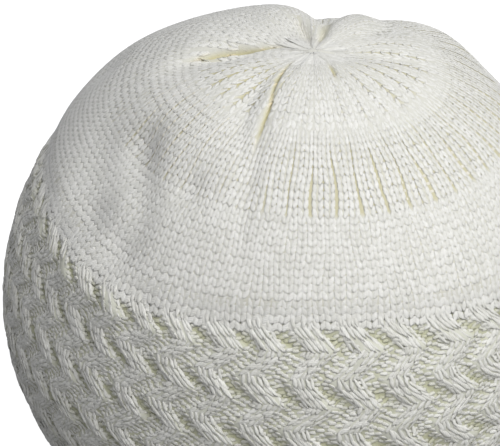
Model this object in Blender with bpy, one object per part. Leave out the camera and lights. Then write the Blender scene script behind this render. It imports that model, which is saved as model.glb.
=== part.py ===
"""A knitted prayer cap: a round crown drawn together at the top, and a zigzag ribbed band.

Metres, +Z up. The cap rests on its rim, as it would by itself on a table, and the origin is the
middle of the rim on that table. The front of the cap faces -Y.

A place on the cap is given by three numbers, all taken from the middle of the head:
azimuth, in degrees from the front (-Y) towards +X; latitude, in degrees above the widest ring;
and radius, in millimetres. Azimuths that count stitches are stitch angles: the knit is pulled
a little sideways, and pulled() turns a stitch angle into the azimuth where that stitch lies.
"""
import math

import bmesh
import bpy
from mathutils import Vector

MM = 0.001

# Whole cap
HEAD_ROUND = 559.0                  # round the widest ring
BALL = HEAD_ROUND / math.tau        # radius of the widest ring
RIM_DROP = 45.0                     # from the widest ring down to the rim
JOINT_GAP = 0.3                     # between the crown's edge and the band's

# Knit
WALES = 156                         # columns of stitches round the cap
WALE = 360.0 / WALES
RIB_WALES = 3                       # one wale in three is dropped above the plain zone
CHEVRON_WALES = 4                   # two raised and two sunk in the band
PULL = 0.18                         # sideways pull of the knit, in radians
CHEVRON_START = 0.5                 # stitch angle of a raised rib's middle at the crown's edge
RIB_START = 2.3                     # stitch angle of a dropped wale

# Crown
CROWN_RADIUS = BALL - 0.6
CROWN_WALL = 2.2
EDGE_LATITUDE = 28.4                # where the crown ends and the band starts
EDGE_WAVE = 1.4                     # the edge dips between four soft corners
EDGE_WAVE_AZIMUTH = 11.0
DROP_LATITUDE = 48.6                # where every third wale is dropped
RIB_MIDDLE_LATITUDE = 57.0
SECOND_LATITUDE = 66.0              # where the ribs close up again
RIB_DEPTH = 0.7
RIB_FADE = 2.0                      # degrees of latitude over which a rib starts and ends
CROWN_ROWS = (38.5,)                # latitudes of the plain zone's rings above its edge
RIB_ROWS = (DROP_LATITUDE, DROP_LATITUDE + RIB_FADE, RIB_MIDDLE_LATITUDE, SECOND_LATITUDE - RIB_FADE)
INNER_RIB_ROWS = (DROP_LATITUDE, RIB_MIDDLE_LATITUDE)
TOP_ROWS = (SECOND_LATITUDE, 70.0, 73.8, 77.4, 80.6, 83.4, 86.0, 88.3)
CROWN_COLUMNS = 2 * WALES // RIB_WALES

# Gather: the last stitches are drawn together on one thread
GATHER_DIP = 2.6
GATHER_DIP_REACH = 13.0
GATHERS = 13
GATHER_DEPTH = 0.45
GATHER_REACH = 21.0

# Folds that run out of the gather. Azimuths are those at the gather and at the far end, reach and
# deepest are distances from the gather over the crown, and a fold has a left and a right bank
FOLD_COLUMNS = ("name", "start", "end", "reach", "deepest", "depth", "left_bank", "right_bank")
FOLD_ROWS = (
    ("left", -101.0, -86.0, 52.0, 25.0, 6.4, 3.4, 7.5),
    ("front_left", -52.0, -16.0, 62.0, 24.0, 4.2, 7.0, 3.0),
    ("front_crease", -24.0, -13.0, 88.0, 54.0, 1.0, 4.0, 3.0),
    ("right", 82.0, 98.0, 44.0, 15.0, 1.8, 4.5, 6.0),
    ("back_right", 116.0, 160.0, 62.0, 34.0, 2.6, 6.0, 5.0),
    ("back", 168.0, 183.0, 84.0, 40.0, 5.6, 5.0, 7.0),
    ("back_left", 205.0, 196.0, 34.0, 13.0, 2.6, 4.0, 4.0),
)
FOLDS = [dict(zip(FOLD_COLUMNS, row)) for row in FOLD_ROWS]
FOLD_SHARPNESS = 1.6                # 2 would give a fold round banks, 1 sharp ones

# Soft swellings (plus) and dents (minus) of the crown
SWELL_COLUMNS = ("name", "azimuth", "latitude", "spread", "height")
SWELL_ROWS = (
    ("back_left_lobe", -124.0, 40.0, 26.0, 2.6),
    ("back_right_lobe", 140.0, 48.5, 14.0, 2.8),
    ("back_hollow", 169.0, 56.0, 12.0, -3.4),
    ("left_lobe", -118.0, 64.0, 13.0, 1.0),
    ("left_front_dent", -50.0, 51.0, 8.0, -1.3),
    ("front_dent", -31.0, 48.0, 6.0, -0.9),
    ("left_dent", -98.0, 47.0, 9.0, -1.2),
    ("left_edge_swell", -42.0, 34.0, 12.0, 0.8),
)
SWELLS = [dict(zip(SWELL_COLUMNS, row)) for row in SWELL_ROWS]

# Band
BAND_RADIUS = BALL - 1.7            # of the sunk wales
BAND_WALL = 2.6
BAND_TUCK = 2.4                     # the band draws in this much towards the rim
RIM_RADIUS = BAND_RADIUS - BAND_TUCK
CHEVRON_TURNS = 13                  # a slanted stretch of rib ends at each turn
FIRST_TURN_LATITUDE = 23.6
LAST_TURN_LATITUDE = -30.6
CHEVRON_SWAY = 2.5 * WALE           # sideways reach of a slanted stretch
RIDGE_HEIGHT = 1.7
EDGE_RIDGE = 0.5                    # share of the height that a ridge has at the crown's edge
# A ridge's outline across its repeat: offsets in wales from its middle, and share of its height
RIDGE_COLUMNS = ("offset", "share")
RIDGE_ROWS = ((-1.25, 0.0), (-0.7, 1.0), (0.7, 1.0), (1.25, 0.0))
RIDGE = [dict(zip(RIDGE_COLUMNS, row)) for row in RIDGE_ROWS]
INNER_BAND_STRIPS = 4

# Yarn colours, linear
CROWN_YARN = (0.80, 0.80, 0.74, 1.0)
BAND_YARN = (0.77, 0.77, 0.71, 1.0)
YARN_ROUGHNESS = 0.9
SMOOTH_ANGLE = math.radians(50.0)


def ease(share):
    """0 to 1 with a soft start and end."""
    share = min(max(share, 0.0), 1.0)
    return share * share * (3.0 - 2.0 * share)


def between(low, high, share):
    return low + (high - low) * share


def pulled(stitch_angle):
    """The azimuth of a stitch angle: the knit is denser on the left and wider on the right."""
    return stitch_angle + math.degrees(PULL * (1.0 - math.cos(math.radians(stitch_angle))))


def apart(azimuth, other):
    """The way round from other to azimuth, between -180 and 180."""
    return (azimuth - other + 180.0) % 360.0 - 180.0


def place(azimuth, latitude, radius):
    around = math.radians(azimuth)
    up = math.radians(latitude)
    level = math.cos(up) * radius * MM
    return Vector((level * math.sin(around), -level * math.cos(around), math.sin(up) * radius * MM))


def edge_latitude(azimuth):
    """Latitude of the line between crown and band."""
    return EDGE_LATITUDE + EDGE_WAVE * math.cos(math.radians(4.0 * (azimuth - EDGE_WAVE_AZIMUTH)))


def fold_depth(fold, azimuth, latitude, wall):
    """How far one fold sinks the crown. Inside the wall a fold is wider by the wall."""
    run = math.radians(90.0 - latitude) * BALL
    share = run / fold["reach"]
    if share >= 1.0:
        return 0.0
    middle = between(fold["start"], fold["end"], share)
    aside = math.radians(apart(azimuth, middle)) * BALL * math.cos(math.radians(latitude))
    bank = (fold["left_bank"] if aside < 0.0 else fold["right_bank"]) + wall
    peak = fold["deepest"] / fold["reach"]
    along = ease(share / peak) if share < peak else ease((1.0 - share) / (1.0 - peak))
    return fold["depth"] * along * math.exp(-abs(aside / bank) ** FOLD_SHARPNESS)


def swell_height(swell, azimuth, latitude):
    across = math.radians(apart(azimuth, swell["azimuth"])) * math.cos(math.radians(latitude))
    up = math.radians(latitude - swell["latitude"])
    return swell["height"] * math.exp(-(across ** 2 + up ** 2) * (BALL / swell["spread"]) ** 2)


def gather_depth(azimuth, latitude):
    """The dip at the top, and the small pleats that the drawn thread makes round it."""
    run = math.radians(90.0 - latitude) * BALL
    dip = GATHER_DIP * math.exp(-(run / GATHER_DIP_REACH) ** 2)
    ruffle = math.sin(math.pi * min(run / GATHER_REACH, 1.0))
    return dip + GATHER_DEPTH * ruffle * (1.0 + math.cos(math.radians(GATHERS * azimuth)))


def crown_radius(azimuth, latitude, wall=0.0):
    radius = CROWN_RADIUS - wall - gather_depth(azimuth, latitude)
    radius += sum(swell_height(swell, azimuth, latitude) for swell in SWELLS)
    return radius - sum(fold_depth(fold, azimuth, latitude, wall) for fold in FOLDS)


def rib_share(latitude):
    """How open the dropped wales are: none in the plain zone, all between the two decreases."""
    opening = ease((latitude - DROP_LATITUDE) / RIB_FADE)
    return opening * ease((SECOND_LATITUDE - latitude) / RIB_FADE)


def crown_ring(latitude, wall=0.0):
    """One ring of the crown's points. Every second column lies in a dropped wale."""
    points = []
    for column in range(CROWN_COLUMNS):
        azimuth = pulled(RIB_START + column * 360.0 / CROWN_COLUMNS)
        sunk = RIB_DEPTH * rib_share(latitude) if column % 2 == 0 and wall == 0.0 else 0.0
        points.append(place(azimuth, latitude, crown_radius(azimuth, latitude, wall) - sunk))
    return points


def crown_edge_ring(wall=0.0):
    points = []
    for column in range(CROWN_COLUMNS):
        azimuth = pulled(RIB_START + column * 360.0 / CROWN_COLUMNS)
        latitude = edge_latitude(azimuth) + math.degrees(JOINT_GAP / 2.0 / BALL)
        points.append(place(azimuth, latitude, crown_radius(azimuth, latitude, wall)))
    return points


def band_radius(latitude):
    return BAND_RADIUS - BAND_TUCK * ease(latitude / LAST_TURN_LATITUDE)


def band_columns(sway):
    """Azimuth and share of the ridge's height of each column of the band's points."""
    for chevron in range(WALES // CHEVRON_WALES):
        middle = CHEVRON_START + chevron * CHEVRON_WALES * WALE + sway
        for corner in RIDGE:
            yield pulled(middle + corner["offset"] * WALE), corner["share"]


def band_top(azimuth):
    return edge_latitude(azimuth) - math.degrees(JOINT_GAP / 2.0 / BALL)


def band_top_ring():
    """The ribs start at part of their height, under the crown's edge."""
    points = []
    for azimuth, share in band_columns(0.0):
        latitude = band_top(azimuth)
        radius = band_radius(latitude) + RIDGE_HEIGHT * EDGE_RIDGE * share
        points.append(place(azimuth, latitude, radius))
    return points


def turn_ring(turn):
    """The ring where the ribs turn back: to the right at odd turns, to the left at even ones."""
    step = (turn - 1) / (CHEVRON_TURNS - 1)
    latitude = between(FIRST_TURN_LATITUDE, LAST_TURN_LATITUDE, step)
    sway = CHEVRON_SWAY if turn % 2 else 0.0
    radius = band_radius(latitude)
    return [place(azimuth, latitude, radius + RIDGE_HEIGHT * share)
            for azimuth, share in band_columns(sway)]


def rim_latitude(wall=0.0):
    """Latitude at which the wall's outside, or its inside, comes down to the rim's height."""
    return -math.degrees(math.asin(RIM_DROP / (RIM_RADIUS - wall)))


def rim_ring():
    return [place(azimuth, rim_latitude(), RIM_RADIUS)
            for azimuth, share in band_columns(CHEVRON_SWAY)]


def inner_band_ring(share):
    """One ring of the band's smooth inside, from the rim (share 0) up to the crown's edge."""
    points = []
    for azimuth, ridge in band_columns(CHEVRON_SWAY * (1.0 - share)):
        latitude = between(rim_latitude(BAND_WALL), band_top(azimuth), share)
        points.append(place(azimuth, latitude, band_radius(latitude) - BAND_WALL))
    return points


def first_ring(bm, points):
    ring = bmesh.ops.create_circle(bm, segments=len(points), radius=BALL * MM)["verts"]
    for vert, point in zip(ring, points):
        vert.co = point
    return ring


def next_ring(bm, ring, points):
    """Extrudes a ring of the wall and puts the new ring's corners on their points."""
    edges = [bm.edges.get((ring[i - 1], ring[i])) for i in range(len(ring))]
    grown = bmesh.ops.extrude_edge_only(bm, edges=edges)["geom"]
    fresh = {item for item in grown if isinstance(item, bmesh.types.BMVert)}
    new_ring = []
    for vert, point in zip(ring, points):
        partner = next(e.other_vert(vert) for e in vert.link_edges if e.other_vert(vert) in fresh)
        partner.co = point
        new_ring.append(partner)
    return new_ring


def yarn(name, colour):
    material = bpy.data.materials.new(name)
    material.use_nodes = True
    shader = material.node_tree.nodes["Principled BSDF"]
    shader.inputs["Base Color"].default_value = colour
    shader.inputs["Roughness"].default_value = YARN_ROUGHNESS
    shader.inputs["Metallic"].default_value = 0.0
    return material


def finish(bm, name, material):
    """Makes an object of a closed wall, placed so that the rim is at Z = 0."""
    bmesh.ops.recalc_face_normals(bm, faces=bm.faces[:])
    mesh = bpy.data.meshes.new(name)
    bm.to_mesh(mesh)
    bm.free()
    mesh.shade_smooth()
    mesh.set_sharp_from_angle(angle=SMOOTH_ANGLE)
    mesh.materials.append(material)
    thing = bpy.data.objects.new(name, mesh)
    thing.location.z = RIM_DROP * MM
    bpy.context.collection.objects.link(thing)
    return thing


def make_crown():
    """The crown: up its outside to the gather, and from its edge up its inside."""
    bm = bmesh.new()
    edge = first_ring(bm, crown_edge_ring())
    ring = edge
    for latitude in CROWN_ROWS + RIB_ROWS + TOP_ROWS:
        ring = next_ring(bm, ring, crown_ring(latitude))
    top = place(0.0, 90.0, crown_radius(0.0, 90.0))
    bmesh.ops.pointmerge(bm, verts=next_ring(bm, ring, [top] * CROWN_COLUMNS), merge_co=top)
    ring = next_ring(bm, edge, crown_edge_ring(CROWN_WALL))
    for latitude in CROWN_ROWS + INNER_RIB_ROWS + TOP_ROWS:
        ring = next_ring(bm, ring, crown_ring(latitude, CROWN_WALL))
    top = place(0.0, 90.0, crown_radius(0.0, 90.0, CROWN_WALL))
    bmesh.ops.pointmerge(bm, verts=next_ring(bm, ring, [top] * CROWN_COLUMNS), merge_co=top)
    return finish(bm, "crown", yarn("crown_yarn", CROWN_YARN))


def make_band():
    """The band: down its ribbed outside, under the flat rim, and up its smooth inside."""
    bm = bmesh.new()
    ring = first_ring(bm, band_top_ring())
    for turn in range(1, CHEVRON_TURNS + 1):
        ring = next_ring(bm, ring, turn_ring(turn))
    ring = next_ring(bm, ring, rim_ring())
    for strip in range(INNER_BAND_STRIPS + 1):
        ring = next_ring(bm, ring, inner_band_ring(strip / INNER_BAND_STRIPS))
    bmesh.ops.bridge_loops(bm, edges=[edge for edge in bm.edges if edge.is_boundary])
    return finish(bm, "band", yarn("band_yarn", BAND_YARN))


def main():
    for thing in list(bpy.data.objects):
        bpy.data.objects.remove(thing)
    make_crown()
    make_band()


main()
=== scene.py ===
"""The looks of a knitted prayer cap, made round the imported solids.

Metres, +Z up, the rim on the floor at Z = 0 and the front of the cap towards -Y. A place on the cap
is an azimuth in degrees from the front towards +X, a latitude in degrees above the widest ring and a
radius in millimetres from the middle of the head. Stitches are counted by angles, which
azimuth_of() turns into azimuths. Most functions here take whole arrays of places at once.

Two closed walls of cloth stand for the two solids, and the yarn lies on them: the two legs of each
stitch's V on the crown, and on the band strands along the ridges and small arcs in the hollows.
"""
import math

import bmesh
import bpy
import numpy as np
from mathutils import Matrix, Vector


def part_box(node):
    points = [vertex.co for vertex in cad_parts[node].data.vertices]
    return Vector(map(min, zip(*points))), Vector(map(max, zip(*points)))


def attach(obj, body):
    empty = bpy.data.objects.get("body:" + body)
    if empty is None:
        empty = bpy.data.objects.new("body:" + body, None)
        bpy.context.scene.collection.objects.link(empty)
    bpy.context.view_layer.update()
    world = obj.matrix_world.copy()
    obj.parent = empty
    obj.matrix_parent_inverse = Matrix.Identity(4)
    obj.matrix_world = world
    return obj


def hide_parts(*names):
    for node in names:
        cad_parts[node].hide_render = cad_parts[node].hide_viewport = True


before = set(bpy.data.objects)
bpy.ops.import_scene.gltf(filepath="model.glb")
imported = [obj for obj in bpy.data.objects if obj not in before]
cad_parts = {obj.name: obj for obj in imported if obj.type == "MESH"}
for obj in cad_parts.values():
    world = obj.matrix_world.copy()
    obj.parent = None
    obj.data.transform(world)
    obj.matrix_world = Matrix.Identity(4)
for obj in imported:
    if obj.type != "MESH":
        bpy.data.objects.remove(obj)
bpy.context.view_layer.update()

MM = 0.001


def table(columns, *rows):
    """Rows of values as dictionaries by the names of the columns."""
    return [dict(zip(columns.split(), row)) for row in rows]


# Whole cap, as in the solids
band_low, band_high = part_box("band")
BALL = (band_high.x - band_low.x) / 2.0 / MM  # radius of the widest ring
RIM_DROP = 45.0  # from the widest ring down to the rim
HEAD_MIDDLE = Vector((0.0, 0.0, RIM_DROP * MM))

# Knit
WALES = 156  # columns of stitches round the cap
WALE = 360.0 / WALES
RIB_WALES = 3  # every third one is dropped higher up
RIBS = WALES // RIB_WALES
CHEVRON_WALES = 4  # from one ridge of the band to the next
CHEVRONS = WALES // CHEVRON_WALES
PULL = 0.18  # how much the knit widens from left to right
CHEVRON_START = 0.5  # angle of the first ridge
RIB_START = 2.3  # and of the first dropped wale

# How the wales wander sideways by hand: two waves, each with its number by angle and by latitude,
# which fade out below the gather
WANDER = 0.12 * WALE
SLOW_WAVE = (14.0, 26.0)
QUICK_WAVE = (23.0, -17.0)
QUICK_PHASE = 1.0
WANDER_END = 86.0
WANDER_FADE = 12.0

# Crown
CROWN_RADIUS = BALL - 0.6
CROWN_WALL = 2.2
EDGE_LATITUDE = 28.4  # of its lower edge, which runs up and down in waves
EDGE_WAVE = 1.4
EDGE_WAVES = 4.0
EDGE_WAVE_AZIMUTH = 11.0
EDGE_TUCK = 0.8  # the last courses bend in to meet the band
EDGE_TUCK_REACH = 4.0
DROP_LATITUDE = 48.6  # where every third wale is dropped
SECOND_LATITUDE = 66.0  # where their gaps have closed and the top starts

# Where the knit is loose, by angle
LOOSE_SPOTS = ((-60.0, 1.0), (68.0, 0.55))  # the top's is most open on the left
LOOSE_REACH = 60.0
SLACK_ANGLE = 54.0  # the dropped wales gape most at the front right
SLACK_START = 0.1  # cosine of the angle off it from which they do
SLACK_SPAN = 0.6  # and how much greater it is where they do so in full

# How far the crown's knit opens, from 0 to 1: widths in wales, fades in degrees of latitude
TIGHT_OPENNESS = 0.3  # of dropped wales and of the top, where it is tight
SLOT_WIDTH = 0.5  # of a dropped wale
SLOT_FADE = 6.0
SEAM_OPENNESS = 0.85  # between the two wales of a rib
SEAM_WIDTH = 0.35
PLAIN_OPENNESS = 0.25  # between plain wales
PLAIN_WIDTH = 0.3
DROP_FADE = 0.8  # from the plain zone to the ribs
PAIR_OPENNESS = 1.3  # between the top's pairs of wales, where it is loose
PAIR_WIDTH = 0.35
PAIR_START_FADE = 4.0  # from the ribs to the top
PAIR_END_LATITUDE = 84.0
PAIR_END_FADE = 6.0

# Gather: a dip and, round it, small puckers
GATHER_DIP = 2.6
GATHER_DIP_REACH = 13.0
GATHERS = 13
GATHER_DEPTH = 0.15
GATHER_REACH = 21.0

# Folds that run out of the gather, with azimuths at the gather and at the far end and distances
# from the gather over the crown
FOLDS = table(
    "name start end reach deepest depth left_bank right_bank",
    ("left", -101.0, -86.0, 52.0, 25.0, 5.2, 4.0, 7.5),
    ("front_left", -52.0, -16.0, 62.0, 24.0, 2.4, 7.0, 3.6),
    ("front_crease", -24.0, -13.0, 88.0, 54.0, 1.0, 4.0, 3.0),
    ("right", 82.0, 98.0, 44.0, 15.0, 1.8, 4.5, 6.0),
    ("back_right", 116.0, 160.0, 62.0, 34.0, 2.6, 6.0, 5.0),
    ("back", 168.0, 183.0, 84.0, 40.0, 5.6, 5.0, 7.0),
    ("back_left", 205.0, 196.0, 34.0, 13.0, 2.6, 4.0, 4.0),
)
FOLD_SHARPNESS = 1.6

# Narrow creases at the bottom of the folds, where the cloth closes on itself: depth, how strong the
# painted warm shade in it is from 0 to 1, widths to the left and right of it, and its distances from
# the gather with the azimuths there
CREASES = table(
    "name depth warmth left right path",
    ("left", 1.9, 1.0, 0.5, 0.4,
     ((8.0, -110.0), (12.0, -106.0), (17.0, -101.0), (28.0, -97.0), (40.0, -91.0))),
    ("front_left", 1.1, 0.9, 0.6, 0.4,
     ((6.0, -42.0), (12.0, -38.0), (19.0, -30.0), (30.0, -22.0), (49.0, -19.0))),
    ("front_slit", 1.2, 0.8, 0.4, 0.4, ((9.5, 31.0), (14.0, 27.0), (18.0, 23.0))),
    ("right", 0.5, 0.0, 1.5, 1.8, ((3.0, 94.0), (19.0, 96.0), (32.0, 92.0))),
    ("back_left", 1.0, 0.1, 1.6, 1.6, ((4.0, 182.0), (13.0, 190.0), (26.0, 196.0))),
    ("back", 1.4, 0.25, 1.2, 1.2, ((3.0, 158.0), (10.0, 167.0), (17.0, 170.0), (30.0, 172.0))),
)
CREASE_FADE = 0.3  # share of a crease over which it starts and ends
LIP_HEIGHT = 0.05  # share of a crease's depth that its banks swell
LIP_PLACE = 3.4
LIP_SPREAD = 2.0

# Soft swellings (plus) and dents (minus) of the crown
SWELLS = table(
    "name azimuth latitude spread height",
    ("back_left_lobe", -124.0, 40.0, 26.0, 2.6),
    ("back_right_lobe", 140.0, 48.5, 14.0, 2.8),
    ("back_hollow", 169.0, 56.0, 12.0, -3.4),
    ("left_lobe", -118.0, 64.0, 13.0, 1.0),
    ("left_hollow", -67.0, 43.5, 14.0, -3.6),
    ("left_front_hollow", -48.0, 45.0, 13.0, -1.8),
    ("left_front_dent", -59.5, 51.0, 6.5, -3.2),
    ("left_front_fold_high", -52.0, 48.0, 5.0, -1.3),
    ("left_front_fold_middle", -45.5, 43.5, 4.5, -0.8),
    ("left_front_fold_low", -41.0, 38.5, 4.5, -0.7),
    ("front_dent", -34.0, 49.5, 5.0, -1.4),
    ("left_dent", -111.0, 43.0, 8.0, -1.6),
    ("left_edge", -68.0, 28.5, 8.0, 1.6),
    ("left_front_groove", -56.0, 34.5, 7.0, -1.9),
    ("front_left_groove", -43.0, 33.0, 7.0, -1.9),
    ("left_front_edge", -53.0, 25.5, 8.0, 2.7),
    ("front_left_edge", -40.0, 24.0, 8.0, 2.6),
    ("front_edge", -27.0, 24.0, 8.0, 1.3),
)

# Band. A row is the latitude that a course of it would keep on an even band; row_latitude() gives
# where it really runs, higher or lower round the head.
BAND_RADIUS = BALL - 1.7
BAND_WALL = 2.6
BAND_TUCK = 2.4  # how much narrower it gets down to the last turn
CHEVRON_TURNS = 13
FIRST_TURN = 23.6
LAST_TURN = -30.6
TURN_PITCH = (FIRST_TURN - LAST_TURN) / (CHEVRON_TURNS - 1)
CHEVRON_SWAY = 2.5  # wales that a slant runs sideways
ARM_BEND = 1.4  # slants to the right start steep, 1 being straight
RIDGE_HEIGHT = 1.0
RIDGE_START = 0.2  # share of it that a ridge has at the crown's edge
RIDGE_FLAT = 0.85  # wales from a ridge's middle to its shoulder
RIDGE_FOOT = 1.40  # and to where it meets the hollow
RIM_RADIUS = BAND_RADIUS - BAND_TUCK
JOINT_GAP = 0.3  # between the crown and the band
HALF_GAP = math.degrees(JOINT_GAP / 2.0 / BALL)
WAVE_END = 10.0  # row where the edge's wave has faded out
SAG = 0.115  # the front right of the band is this much longer
SAG_FULL = 25.0  # in full down to this far under the edge
SAG_END = 58.0  # and not at all from this far on
SAG_AZIMUTHS = (-35.0, 35.0, 90.0, 180.0)  # where it starts, is full, fades and has ended

# A hollow's shade: wales from the ridge on its left and turns above that ridge's turn
SHADE_ASIDE = 1.75
SHADE_WIDTH = 0.55
SHADE_ABOVE = 0.32
SHADE_HEIGHT = 0.30

# Yarn, in millimetres
YARN_SINK = 0.55  # its middle under the knit's outer face
CLOTH_SINK = 0.50  # the backing cloth's face under it
SLOT_SINK = 0.25  # further down in the dropped wales
RIDGE_SINK = 0.08  # further down under the band's ridges
HOLLOW_RISE = 0.02  # less than that in the hollows
SHADE_SINK = 0.35  # but more where they are shaded
YARN_RADIUS = 0.15
SWALLOW = 0.8  # how deep the yarn sinks at the bottom of a crease
SEED = 7

# Painted warm shade of the cloth under the yarn and of the bars, from 0 to 1
SLOT_SHADE = 0.62
HOLLOW_SHADE = 0.45
DEEP_SHADE = 0.40  # more than that where a hollow lies in shade
BAR_SHADE = 0.2

# Unevenness of the stitches: sideways as a share of half a wale, upwards in courses
JITTER = 0.035
LOOSE_JITTER = 0.16  # sideways where the top is loosest
COURSE_JITTER = 0.04

# Courses of the crown
PLAIN_COURSES = 14
RIB_COURSES = 11
TOP_COURSES = 11
TOP_WALES = 70  # after the decrease at the second latitude
TOP_STEP = 360.0 / TOP_WALES
TOP_END_LATITUDE = 85.6

# Rings of the cloth walls, from the gather or the crown's edge down and back up inside
CROWN_RINGS = 66
CROWN_INNER_RINGS = 24
BAND_RINGS = 80
BAND_INNER_RINGS = 14

# Photograph's frame
PHOTO_WIDTH = 500
PHOTO_HEIGHT = 446
BALL_PIXEL_X = 297
BALL_PIXEL_Y = 297
BALL_PIXELS = 298  # radius of the ball in the photograph
SENSOR = 36.0
CAMERA_RISE = math.radians(34.01)
CAMERA_ROLL = math.radians(3.78)
CAMERA_DISTANCE = 11.2 * BALL


# Places on the cap

def ease(share):
    share = np.clip(share, 0.0, 1.0)
    return share * share * (3.0 - 2.0 * share)


def between(low, high, share):
    return low + (high - low) * share


def bell(distance, width, sharpness=2.0):
    """1 in the middle, and next to nothing at two widths from it."""
    return np.exp(-np.abs(distance / width) ** sharpness)


def wander(angle, latitude):
    """The hand's unevenness: degrees that a wale strays to the right at a latitude."""
    slow = np.radians(SLOW_WAVE[0] * angle + SLOW_WAVE[1] * latitude)
    quick = np.radians(QUICK_WAVE[0] * angle + QUICK_WAVE[1] * latitude) + QUICK_PHASE
    return WANDER * (np.sin(slow) + np.sin(quick)) * ease((WANDER_END - latitude) / WANDER_FADE)


def azimuth_of(angle, latitude):
    """The azimuth of an angle: the knit is denser on the left and wider on the right."""
    strayed = angle + wander(angle, latitude)
    return strayed + np.degrees(PULL * (1.0 - np.cos(np.radians(strayed))))


def apart(azimuth, other):
    return (azimuth - other + 180.0) % 360.0 - 180.0


def place(azimuth, latitude, radius):
    """Points in millimetres round the middle of the head, one row for each."""
    around = np.radians(azimuth)
    up = np.radians(latitude)
    level = np.cos(up) * radius
    return np.stack([level * np.sin(around), -level * np.cos(around), np.sin(up) * radius], axis=-1)


def unit(vectors):
    return vectors / np.linalg.norm(vectors, axis=-1, keepdims=True)


def aim_of(points):
    """The azimuths and latitudes of points."""
    azimuth = np.degrees(np.arctan2(points[:, 0], -points[:, 1]))
    return azimuth, np.degrees(np.arcsin(points[:, 2] / np.linalg.norm(points, axis=1)))


def width_of(angle_step, latitude):
    """Millimetres that an angle spans at a latitude of the crown."""
    return np.radians(angle_step) * BALL * np.cos(np.radians(latitude))


def run_of(latitude):
    """Millimetres over the crown from the gather to a latitude."""
    return np.radians(90.0 - latitude) * BALL


def edge_latitude(azimuth):
    return EDGE_LATITUDE + EDGE_WAVE * np.cos(np.radians(EDGE_WAVES * (azimuth - EDGE_WAVE_AZIMUTH)))


def fold_depth(fold, azimuth, latitude, wall):
    share = run_of(latitude) / fold["reach"]
    middle = between(fold["start"], fold["end"], share)
    aside = width_of(apart(azimuth, middle), latitude)
    bank = np.where(aside < 0.0, fold["left_bank"], fold["right_bank"]) + wall
    peak = fold["deepest"] / fold["reach"]
    along = np.where(share < peak, ease(share / peak), ease((1.0 - share) / (1.0 - peak)))
    return fold["depth"] * along * bell(aside, bank, FOLD_SHARPNESS)


def crease_reach(crease, azimuth, latitude):
    """How strong a crease is at a latitude, how far aside of it a place is, and its width there."""
    runs = [run for run, middle in crease["path"]]
    middles = [middle for run, middle in crease["path"]]
    run = run_of(latitude)
    share = (run - runs[0]) / (runs[-1] - runs[0])
    along = ease(share / CREASE_FADE) * ease((1.0 - share) / CREASE_FADE)
    aside = width_of(apart(azimuth, np.interp(run, runs, middles)), latitude)
    return along, aside, np.where(aside < 0.0, crease["left"], crease["right"])


def crease_depth(crease, azimuth, latitude, wall):
    along, aside, width = crease_reach(crease, azimuth, latitude)
    lips = LIP_HEIGHT * bell(np.abs(aside) - LIP_PLACE, LIP_SPREAD)
    return crease["depth"] * along * (bell(aside, width + wall, FOLD_SHARPNESS) - lips)


def closeness(azimuth, latitude):
    """From 0 on open cloth to 1 at the bottom of a crease: how strong the painted warm shade is
    there.
    """
    close = np.zeros(np.broadcast(azimuth, latitude).shape)
    for crease in CREASES:
        along, aside, width = crease_reach(crease, azimuth, latitude)
        close = np.maximum(close, crease["warmth"] * along * bell(aside, width))
    return close


def looseness(angle):
    """From 0 to 1, how loose the top's knit is round the head."""
    return np.max([most * ease(1.0 - np.abs(apart(angle, middle)) / LOOSE_REACH)
                   for middle, most in LOOSE_SPOTS], axis=0)


def slackness(angle):
    """From 0 to 1, how wide the dropped wales gape round the head."""
    return ease((np.cos(np.radians(angle - SLACK_ANGLE)) - SLACK_START) / SLACK_SPAN)


def off_line(turned, first, count, width):
    """How many widths an angle is from the nearest of count lines round the head."""
    return np.abs(apart(count * (turned - first), 0.0)) / count / width


def openness(angle, latitude):
    """From 0 to 1, how far the crown's knit opens along the dropped wales and between the others."""
    loose = looseness(angle)
    turned = angle - RIB_START
    dropped = off_line(turned, 0.0, RIBS, WALE)
    below = ease((SECOND_LATITUDE - latitude) / SLOT_FADE)
    slots = bell(dropped, SLOT_WIDTH) * below
    slots = slots * between(TIGHT_OPENNESS, 1.0, np.maximum(slackness(angle), loose))
    seams = SEAM_OPENNESS * bell(dropped - RIB_WALES / 2.0, SEAM_WIDTH) * below
    pairs = bell(off_line(turned, TOP_STEP, TOP_WALES / 2.0, TOP_STEP), PAIR_WIDTH)
    pairs = pairs * ease((latitude - SECOND_LATITUDE) / PAIR_START_FADE)
    pairs = pairs * between(TIGHT_OPENNESS, PAIR_OPENNESS, loose)
    pairs = pairs * ease((PAIR_END_LATITUDE - latitude) / PAIR_END_FADE)
    plain = PLAIN_OPENNESS * bell(off_line(turned, WALE / 2.0, WALES, WALE), PLAIN_WIDTH)
    started = ease((latitude - DROP_LATITUDE) / DROP_FADE + 0.5)
    return between(plain, slots + seams + pairs, started)


def swell_height(swell, azimuth, latitude):
    across = np.radians(apart(azimuth, swell["azimuth"])) * np.cos(np.radians(latitude))
    up = np.radians(latitude - swell["latitude"])
    return swell["height"] * np.exp(-(across ** 2 + up ** 2) * (BALL / swell["spread"]) ** 2)


def swelling(azimuth, latitude):
    return sum(swell_height(swell, azimuth, latitude) for swell in SWELLS)


def gather_depth(azimuth, latitude):
    run = run_of(latitude)
    ruffle = np.sin(np.pi * np.minimum(run / GATHER_REACH, 1.0))
    puckers = GATHER_DEPTH * ruffle * (1.0 + np.cos(np.radians(GATHERS * azimuth)))
    return GATHER_DIP * bell(run, GATHER_DIP_REACH) + puckers


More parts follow.
